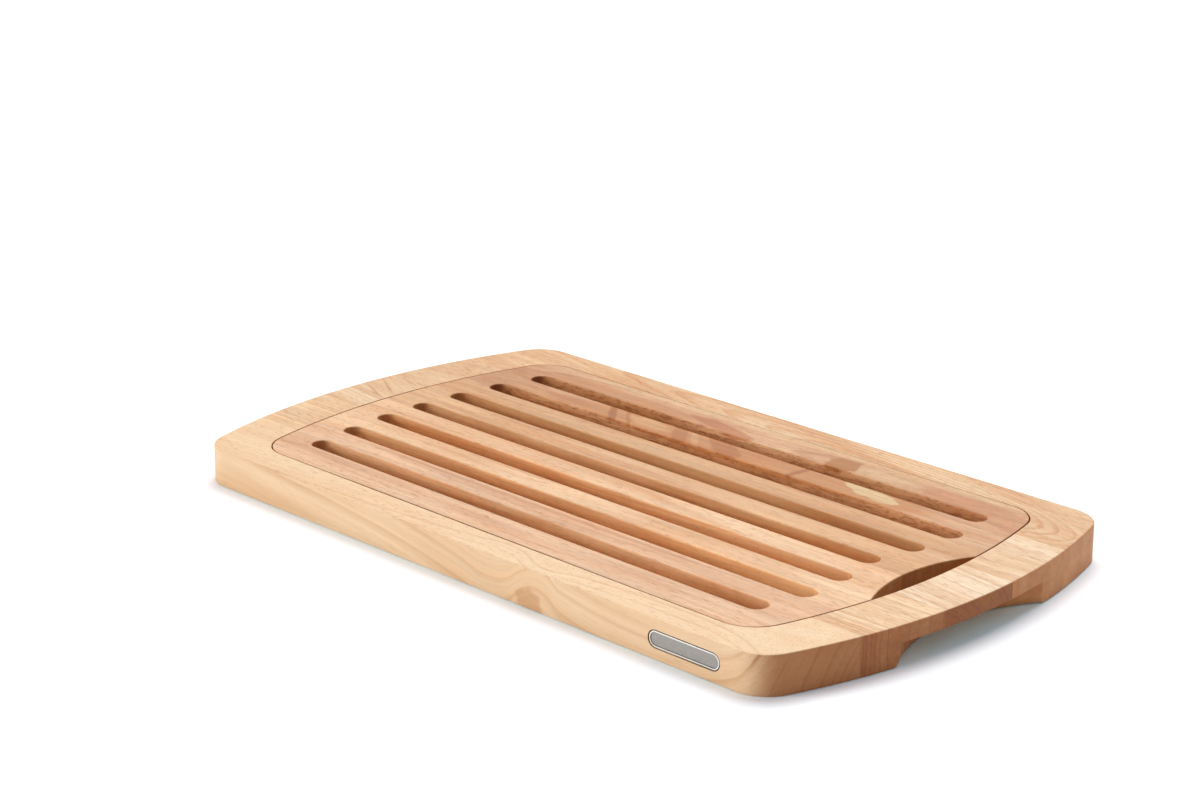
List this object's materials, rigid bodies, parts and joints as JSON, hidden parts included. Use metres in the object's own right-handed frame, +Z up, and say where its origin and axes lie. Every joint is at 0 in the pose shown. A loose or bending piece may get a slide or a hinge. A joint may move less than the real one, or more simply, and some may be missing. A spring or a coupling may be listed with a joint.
{
  "type": "bread board",
  "caption": "Two-piece bread board: a bowed wooden crumb tray with handholds at both ends and a slotted insert that lifts out by a finger notch.",
  "frame": {"origin": "on the surface that the board stands on, under the middle of the board", "axes": "+X along the board towards the end with the finger notch, +Y across it to the back, away from the edge with the nameplate, +Z up"},
  "size_m": [0.48, 0.27, 0.022],
  "materials": {
    "tray_wood": "oiled rubberwood, satin",
    "insert_wood": "oiled rubberwood, satin",
    "plate_metal": "satin, slightly dulled"
  },
  "bodies": {
    "tray": {"tray_stave_1": "tray_wood", "tray_stave_2": "tray_wood", "tray_stave_3": "tray_wood", "tray_stave_4": "tray_wood", "tray_stave_5": "tray_wood", "nameplate": "plate_metal"},
    "insert": {"insert_stave_1": "insert_wood", "insert_stave_2": "insert_wood", "insert_stave_3": "insert_wood", "insert_stave_4": "insert_wood"}
  },
  "joints": [
    {"name": "insert_lift", "type": "slide", "parent": "tray", "child": "insert", "axis": [0, 0, 1], "range_m": [0, 0.04]}
  ]
}
